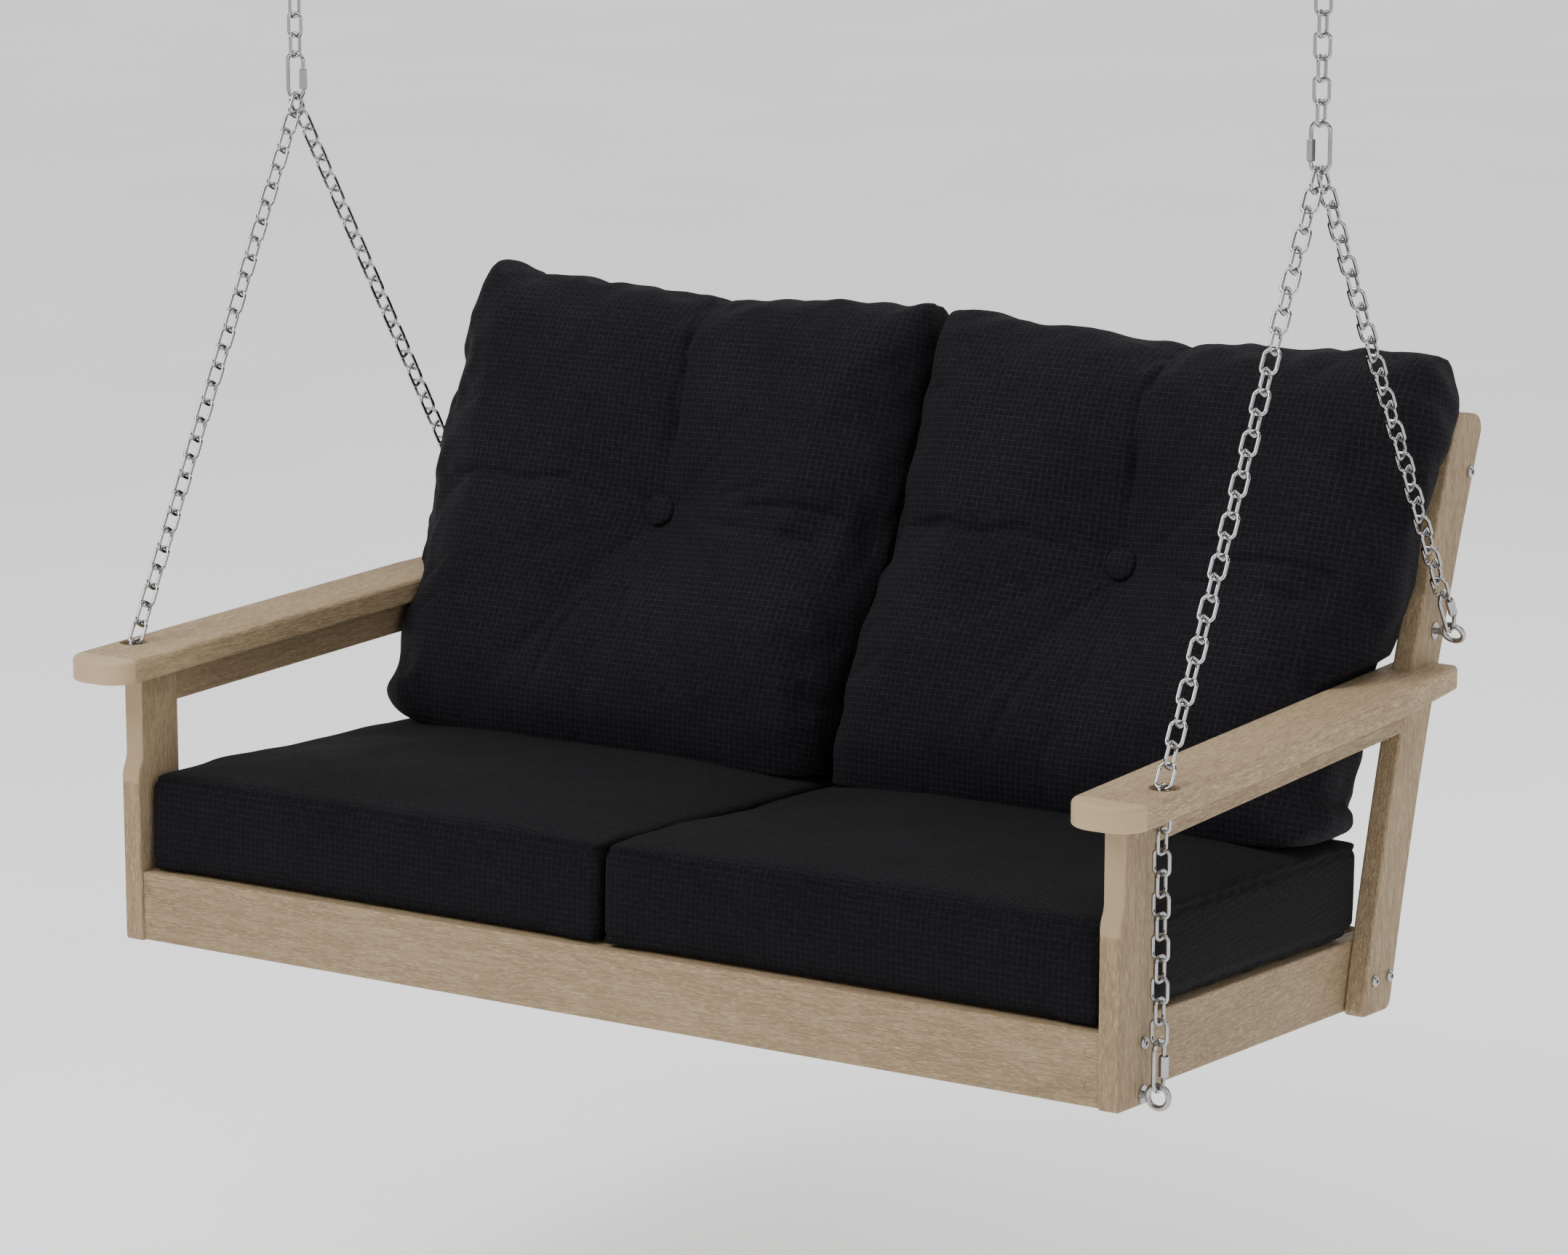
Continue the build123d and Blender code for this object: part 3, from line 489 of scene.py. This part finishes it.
def back_cushion(side, sign):
    node = f"back_cushion_{side}"
    centre_x = 0.324
    origin = Vector((0, BACK_FOOT.y, BACK_FOOT.z))
    to_row, to_panel = axes(origin, Vector((1, 0, 0)), BACK_V, BACK_W)
    n_s, n_t = 56, 52                     # grid cells across and up a panel
    rest = 0.0425                         # rear face of the cushion, in front of the slats' plane
    top_lift, top_dip, ear_out = (0.006, 0.009, 0.013) if sign < 0 else (0.001, 0.010, 0.004)

    def outline(s, t):
        ear = np.where(s * sign > 0, ear_out, 0.003) * np.clip((np.abs(s) - 0.8) / 0.2, 0, 1)
        rise = ear + top_lift - top_dip * (1 - np.abs(s) ** 2.5)
        corner = np.clip((np.abs(s) - 0.84) / 0.16, 0, 1) ** 2
        level = MIDDLE_V + HALF_V * t
        v = (level + rise * np.clip((t - 0.4) / 0.6, 0, 1)
             + 0.030 * corner * np.clip((-t - 0.5) / 0.5, 0, 1))
        half_out = np.interp(level, OUTER_V, OUTER_HALF)
        if sign > 0:
            half_out = half_out + np.interp(level, TRIM_V, TRIM_RIGHT)
        half = np.where(s * sign > 0, half_out, INNER_HALF)
        half = half - 0.016 * np.clip((-t - 0.88) / 0.12, 0, 1) ** 2
        u = sign * centre_x + s * half
        return u, v

    def thickness(v):
        return np.interp(v, [0.05, 0.15, 0.21, 0.30, 0.43, 0.56, 0.68, 0.72],
                         [0.215, 0.243, 0.243, 0.224, 0.192, 0.162, 0.134, 0.122])

    def edge(x, power, sharp):
        return np.clip(1 - np.abs(x) ** power, 0, 1) ** (1 / sharp)

    def warp(values):
        """Spaces grid lines closer near the rim."""
        return np.sin(values * HALF)

    ss = warp(np.linspace(-1, 1, n_s + 1))
    tt = warp(np.linspace(-1, 1, n_t + 1))
    verts, faces = [], []
    index = {}
    for layer in (0, 1):
        for j, t in enumerate(tt):
            for i, s in enumerate(ss):
                rim = i in (0, n_s) or j in (0, n_t)
                if layer == 1 and rim:
                    index[layer, i, j] = index[0, i, j]
                    continue
                u, v = outline(np.array(s), np.array(t))
                full = float(thickness(float(v)))
                shape = float(edge(s, 15.0, 3.4) * edge(t, 13.0, 3.2))
                half = full / 2 * shape
                centre = rest + full * 0.5
                w = centre + half if layer == 0 else centre - half * 0.96
                index[layer, i, j] = len(verts)
                verts.append((float(u), float(v), w))
    for layer in (0, 1):
        for j in range(n_t):
            for i in range(n_s):
                quad = [index[layer, i, j], index[layer, i + 1, j], index[layer, i + 1, j + 1],
                        index[layer, i, j + 1]]
                faces.append(quad if layer == 0 else quad[::-1])
    obj = new_mesh(f"back_pad_{side}", apply(to_row, np.array(verts)), faces)
    button_low, button_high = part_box(f"cushion_button_{side}")
    button = apply(to_panel, np.array([(button_low + button_high) / 2]))[0]

    def sculpt(co, soft, fine):
        u, v, w = co[:, 0] - button[0], co[:, 1] - button[1], co[:, 2]
        middle = rest + thickness(co[:, 1]) * 0.5
        front = np.clip((w - middle) / 0.03, 0, 1)
        r = np.sqrt(u ** 2 + v ** 2)
        sink = np.zeros(len(co))
        if soft:
            sink += 0.060 * np.exp(-(np.maximum(r - 0.012, 0) / 0.085) ** 1.15)
            sink += 0.016 * fold(u, 0.055) * np.clip(v / 0.10, 0, 1)
            sink += 0.010 * fold(v + 0.02 * np.sin(u * 9), 0.045) * np.clip(r / 0.12, 0, 1)
            for angle, depth in ((-118, 0.012), (-62, 0.012), (-90, 0.008)):
                a = math.radians(angle)
                across = u * math.sin(a) - v * math.cos(a)
                along = u * math.cos(a) + v * math.sin(a)
                sink += depth * fold(across, 0.030) * np.clip(along / 0.06, 0, 1) * np.exp(
                    -np.maximum(along, 0) / 0.17)
        if fine:
            bend = 0.010 * np.sin(v * 21 + sign)
            sink += 0.0055 * fold(u - bend * np.clip(v / 0.2, 0, 1), 0.0050) * np.clip(
                (v - 0.06) / 0.05, 0, 1)
            for angle, begin, end in ((-108, 0.11, 0.27), (-84, 0.06, 0.19), (-58, 0.05, 0.17)):
                a = math.radians(angle)
                along = u * math.cos(a) + v * math.sin(a)
                across = u * math.sin(a) - v * math.cos(a) + 0.005 * np.sin(along * 31 + angle)
                span = np.clip((along - begin) / 0.04, 0, 1) * np.clip((end - along) / 0.05, 0, 1)
                sink += 0.0048 * fold(across, 0.0065) * span
            for way in (-1, 1):
                line = v + 0.012 * way * np.sin(u * 17 + way) - 0.008
                span = np.clip((way * u - 0.13) / 0.03, 0, 1) * np.clip((0.31 - way * u) / 0.05, 0, 1)
                sink += 0.0050 * fold(line, 0.0055) * span
                line = v - 0.030 + 0.020 * way * np.cos(u * 13)
                span = np.clip((way * u - 0.10) / 0.03, 0, 1) * np.clip((0.20 - way * u) / 0.04, 0, 1)
                sink += 0.0028 * fold(line, 0.006) * span
        co = co.copy()
        co[:, 2] = w - sink * front
        return co

    co = apply(to_panel, mesh_coords(obj.data))
    set_coords(obj, apply(to_row, sculpt(co, True, False)))
    remesh(obj, VOXEL)
    co = apply(to_panel, mesh_coords(obj.data))
    r = np.hypot(co[:, 0] - button[0], co[:, 1] - button[1])
    held = (r < 0.02) | (co[:, 2] < rest + 0.004)
    inflate(obj, 0.013, 3.0, held, tension=10.0, bending=0.4)
    subdivide(obj)
    co = sculpt(apply(to_panel, mesh_coords(obj.data)), False, True)
    u = (co[:, 0] - sign * centre_x) / 0.33
    v = (co[:, 1] - MIDDLE_V) / HALF_V
    rim = np.clip((np.maximum(np.abs(u), np.abs(v)) - 0.80) / 0.18, 0, 1)
    row = apply(to_row, co)
    soft = ripple(row, 8.0, 11.0 + sign) * 0.004 + ripple(row, 21.0, 5.0 + sign) * 0.0016
    gather = ripple(row, 28.0, 8.0 + sign) * 0.0052
    normals = np.zeros(len(obj.data.vertices) * 3)
    obj.data.vertices.foreach_get("normal", normals)
    normals = normals.reshape(-1, 3)
    row = row + normals * (soft + gather * rim)[:, None]
    # Keep clear of the other cushion, the seat, the armrests, the uprights and the slats.
    height = row[:, 2] - BASE.z
    depth = row[:, 1] - BASE.y
    out = sign * row[:, 0]
    out = np.maximum(out, MIDDLE_GAP + 0.0001)
    out = np.minimum(out, np.interp(height, [0.262, 0.275, 0.306, 0.316, 0.352, 0.372, 0.400],
                                    [0.6700, 0.6420, 0.6420, 0.6222, 0.6222, 0.6550, 0.6900]))
    front_edge = upright_front(np.clip(height, 0, 0.66))
    beside = np.clip((depth - front_edge + 0.020) / 0.014, 0, 1) * (height < 0.652)
    out = np.minimum(out, 0.6900 - 0.0475 * beside)
    seat = SEAT_TOP + 0.0080 - math.tan(TILT) * depth
    above = np.clip((height - seat) / LOW_ROUNDING, 0, 1)
    inset = 1 - np.sqrt(1 - (1 - above) ** 2)
    out = out - (0.060 if sign < 0 else 0.035) * inset * np.clip((out - 0.44) / 0.16, 0, 1)
    row[:, 0] = sign * out
    row[:, 2] = BASE.z + np.maximum(height, seat)
    co = apply(to_panel, row)
    co[:, 2] = np.maximum(co[:, 2], rest)
    row = apply(to_row, co)
    set_coords(obj, row)
    shade_smooth(obj)
    paint(obj, cloth_back)
    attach(obj, "seat")
    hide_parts(node)

    # Covered button, pulled into the front of the cushion.
    tree = BVHTree.FromPolygons([Vector(p) for p in row], [list(p.vertices) for p in
                                                           obj.data.polygons])
    out_dir = Vector((0, -math.cos(math.radians(26)), math.sin(math.radians(26))))
    target = (button_low + button_high) / 2
    hit = tree.ray_cast(target + out_dir * 0.2, -out_dir)
    spot = hit[0] if hit[0] is not None else target
    bm = bmesh.new()
    bmesh.ops.create_uvsphere(bm, u_segments=40, v_segments=20, radius=1.0)
    mesh = bpy.data.meshes.new("button")
    bm.to_mesh(mesh)
    bm.free()
    knob = bpy.data.objects.new(f"button_{side}", mesh)
    scene.collection.objects.link(knob)
    co = mesh_coords(mesh)
    co[:, 2] = np.sign(co[:, 2]) * np.abs(co[:, 2]) ** 0.6 * 0.0060
    co[:, :2] *= 0.0198
    quat = out_dir.to_track_quat("Z", "Y").to_matrix().to_4x4()
    place = np.array(Matrix.Translation(spot + out_dir * 0.0028) @ quat)
    set_coords(knob, apply(place, co))
    shade_smooth(knob)
    paint(knob, cloth_back)
    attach(knob, "seat")
    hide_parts(f"cushion_button_{side}")
    return obj


for side, sign in (("left", -1), ("right", 1)):
    seat_cushion(side, sign)
    back_cushion(side, sign)


# ---- stage ----
def pale(name):
    s = Shader(name)
    cloud = s.noise(s.coords((1, 1, 1)), 1.5, 3, 0.5)
    tone = s.ramp(cloud, [(0.3, (0.84, 0.84, 0.84)), (0.7, (0.88, 0.88, 0.88))])
    return s.finish(Base_Color=tone, Roughness=s.remap(cloud, 0.3, 0.7, 0.9, 0.8),
                    Emission_Color=tone, Emission_Strength=0.6)


floor_z = BASE.z - 0.045 - 0.45
floor = new_mesh("floor", [(-60, -60, floor_z), (60, -60, floor_z), (60, 60, floor_z),
                           (-60, 60, floor_z)], [(0, 1, 2, 3)])
paint(floor, pale("floor_pale"))

world = bpy.data.worlds.new("studio")
scene.world = world
world.use_nodes = True
tree = world.node_tree
background = tree.nodes["Background"]
direction = tree.nodes.new("ShaderNodeTexCoord")
patches = tree.nodes.new("ShaderNodeTexNoise")
patches.inputs["Scale"].default_value = 3.4
patches.inputs["Detail"].default_value = 0.0
panels = tree.nodes.new("ShaderNodeValToRGB")
panels.color_ramp.elements[0].position = 0.52
panels.color_ramp.elements[0].color = (0.03, 0.03, 0.033, 1)
panels.color_ramp.elements[1].position = 0.58
panels.color_ramp.elements[1].color = (1.7, 1.7, 1.7, 1)
seen = tree.nodes.new("ShaderNodeLightPath")
blend = tree.nodes.new("ShaderNodeMix")
blend.data_type = "RGBA"
tree.links.new(direction.outputs["Generated"], patches.inputs["Vector"])
tree.links.new(patches.outputs["Fac"], panels.inputs["Fac"])
tree.links.new(panels.outputs["Color"], [i for i in blend.inputs if i.name == "A" and i.type == "RGBA"][0])
[i for i in blend.inputs if i.name == "B" and i.type == "RGBA"][0].default_value = (2.6, 2.6, 2.6, 1)
tree.links.new(seen.outputs["Is Camera Ray"], blend.inputs[0])
tree.links.new([o for o in blend.outputs if o.type == "RGBA"][0], background.inputs["Color"])
background.inputs["Strength"].default_value = 1.0


def area(name, spot, aim, size, power):
    data = bpy.data.lights.new(name, "AREA")
    data.shape = "RECTANGLE"
    data.size, data.size_y = size
    data.energy = power
    lamp = bpy.data.objects.new(name, data)
    scene.collection.objects.link(lamp)
    lamp.location = spot
    lamp.rotation_euler = (Vector(aim) - Vector(spot)).to_track_quat("-Z", "Y").to_euler()
    return lamp


centre = BASE + Vector((0, 0.4, 0.4))
area("key", centre + Vector((-2.2, -3.2, 3.6)), centre, (2.6, 2.6), 190)
area("fill", centre + Vector((4.2, -2.6, 1.8)), centre, (2.4, 2.4), 56)
area("top", centre + Vector((0, -0.3, 3.4)), centre, (3.2, 2.2), 30)
area("rear", centre + Vector((1.2, 3.6, 3.0)), centre, (2.5, 1.8), 70)

data = bpy.data.cameras.new("camera")
data.sensor_fit = "HORIZONTAL"
data.sensor_width = 36.0
data.lens = 7303.0 / 2156.0 * 36.0
data.clip_end = 200.0
camera = bpy.data.objects.new("camera", data)
scene.collection.objects.link(camera)
camera.location = BASE + Vector((3.2226, -4.7801, 1.6780))
camera.rotation_euler = (math.radians(78.0), 0.0, math.radians(31.85))
scene.camera = camera

bpy.context.view_layer.update()
